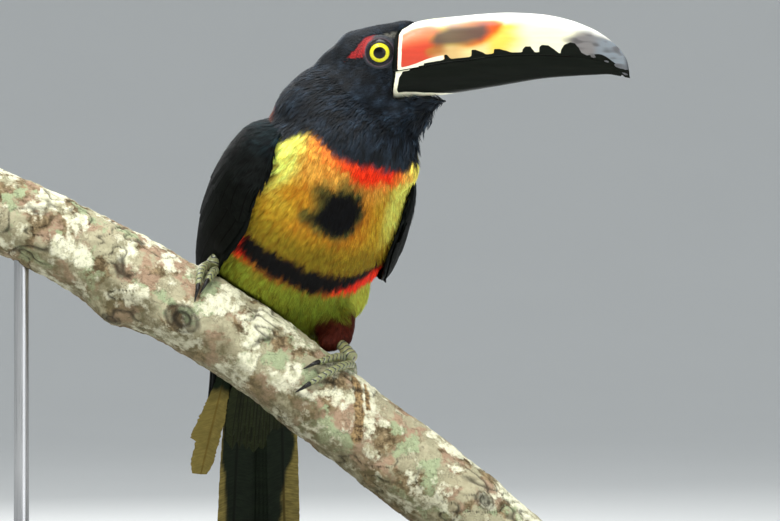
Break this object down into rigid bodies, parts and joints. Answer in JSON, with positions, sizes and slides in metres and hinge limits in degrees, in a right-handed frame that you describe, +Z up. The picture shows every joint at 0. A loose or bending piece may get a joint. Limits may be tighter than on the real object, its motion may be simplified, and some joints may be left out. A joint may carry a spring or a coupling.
{
  "type": "collared aracari model",
  "caption": "Life-size still model of a collared aracari, a small toucan, perched on a sloping cut branch held over a flat base by two rods.",
  "frame": {"origin": "centre of the stand base's underside, on the surface that it stands on", "axes": "+Z up; +X to the bird's left, the way the bill points; +Y away from the side the breast faces"},
  "size_m": [0.312, 0.1737, 0.3224],
  "materials": {
    "hood_plumage": "blue-black feathers with a soft gloss",
    "neck_plumage": "blue-black feathers",
    "breast_plumage": "yellow feathers washed with orange",
    "belly_plumage": "yellow-green feathers",
    "rump_plumage": "red feathers",
    "wing_plumage": "green-black feathers, satin",
    "thigh_plumage": "chestnut feathers",
    "tail_plumage": "dark green feathers, satin",
    "worn_tail_plumage": "faded olive-brown feather",
    "bill_horn": "ivory horn, satin gloss",
    "lower_bill_horn": "black horn, satin gloss",
    "eye": "wet gloss",
    "foot_scales": "olive-grey scales",
    "claw_horn": "dark horn",
    "bark": "rough bark with lichen",
    "stand_lacquer": "black satin lacquer",
    "stand_steel": "brushed"
  },
  "bodies": {
    "root": {"belly": "belly_plumage", "bill_lower": "lower_bill_horn", "bill_upper": "bill_horn", "breast": "breast_plumage", "claw_left_hind_inner": "claw_horn", "claw_left_hind_outer": "claw_horn", "claw_left_inner": "claw_horn", "claw_left_outer": "claw_horn", "claw_right_hind_inner": "claw_horn", "claw_right_hind_outer": "claw_horn", "claw_right_inner": "claw_horn", "claw_right_outer": "claw_horn", "eye_left": "eye", "eye_right": "eye", "head": "hood_plumage", "neck": "neck_plumage", "perch_branch": "bark", "rump": "rump_plumage", "shank_left": "foot_scales", "shank_right": "foot_scales", "stand_base": "stand_lacquer", "stand_rod_left": "stand_steel", "stand_rod_right": "stand_steel", "tail_left_1": "tail_plumage", "tail_left_2": "tail_plumage", "tail_left_3": "tail_plumage", "tail_left_4": "tail_plumage", "tail_left_5": "tail_plumage", "tail_right_1": "tail_plumage", "tail_right_2": "tail_plumage", "tail_right_3": "tail_plumage", "tail_right_4": "tail_plumage", "tail_right_5": "worn_tail_plumage", "thigh_left": "thigh_plumage", "thigh_right": "thigh_plumage", "toe_left_hind_inner": "foot_scales", "toe_left_hind_outer": "foot_scales", "toe_left_inner": "foot_scales", "toe_left_outer": "foot_scales", "toe_right_hind_inner": "foot_scales", "toe_right_hind_outer": "foot_scales", "toe_right_inner": "foot_scales", "toe_right_outer": "foot_scales", "wing_left_primaries": "wing_plumage", "wing_left_secondaries": "wing_plumage", "wing_left_shoulder": "wing_plumage", "wing_right_primaries": "wing_plumage", "wing_right_secondaries": "wing_plumage", "wing_right_shoulder": "wing_plumage"}
  },
  "joints": []
}
